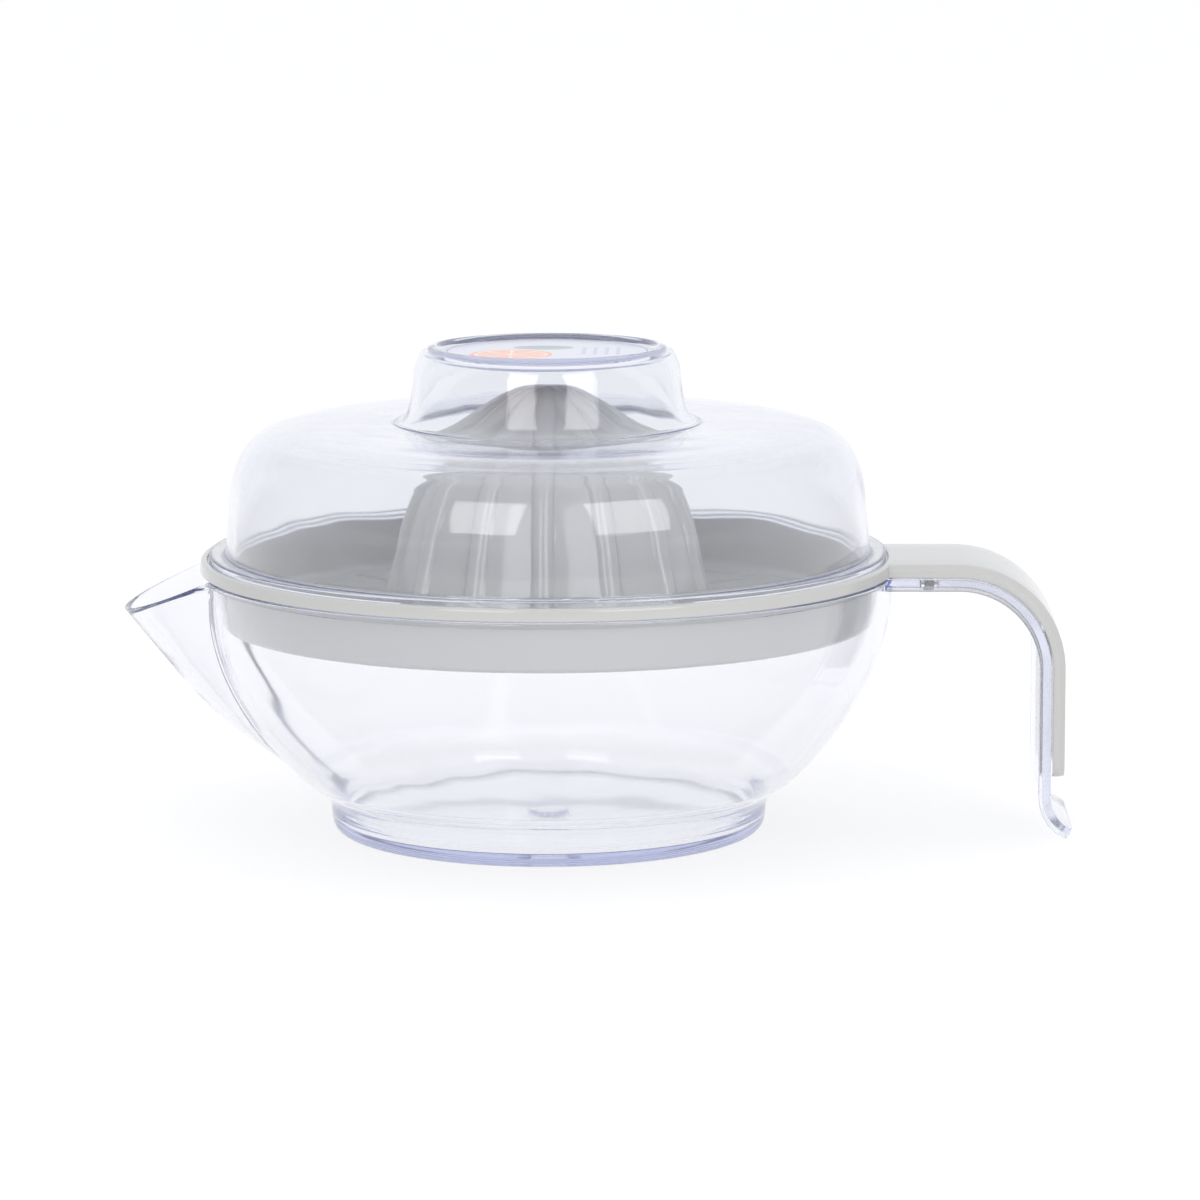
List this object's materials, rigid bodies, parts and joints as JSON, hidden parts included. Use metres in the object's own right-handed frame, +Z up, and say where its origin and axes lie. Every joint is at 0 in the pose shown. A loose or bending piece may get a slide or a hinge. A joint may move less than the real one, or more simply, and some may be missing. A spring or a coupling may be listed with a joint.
{
  "type": "citrus press",
  "caption": "Hand citrus press: clear pouring jug with spout and curled strap handle, lift-off strainer tray with ribbed reamer and handle cover, and a clear domed lid.",
  "frame": {"origin": "on the table at the bowl's axis, under the middle of the foot", "axes": "+Z up along the bowl's axis, +X towards the handle, -X towards the spout, so -Y is the side with the spout on the left"},
  "size_m": [0.2198, 0.1608, 0.1123],
  "materials": {
    "clear_plastic": "clear, polished",
    "grey_plastic": "opaque warm grey, glossy",
    "lid_plastic": "clear, polished",
    "label": "printed sticker, satin"
  },
  "bodies": {
    "jug": {"jug": "clear_plastic"},
    "tray": {"tray": "grey_plastic"},
    "lid": {"lid": "lid_plastic", "lid_label": "label"}
  },
  "joints": [
    {"name": "tray_lift", "type": "slide", "parent": "jug", "child": "tray", "axis": [0, 0, 1], "range_m": [0, 0.08]},
    {"name": "lid_lift", "type": "slide", "parent": "tray", "child": "lid", "axis": [0, 0, 1], "range_m": [0, 0.06]}
  ]
}
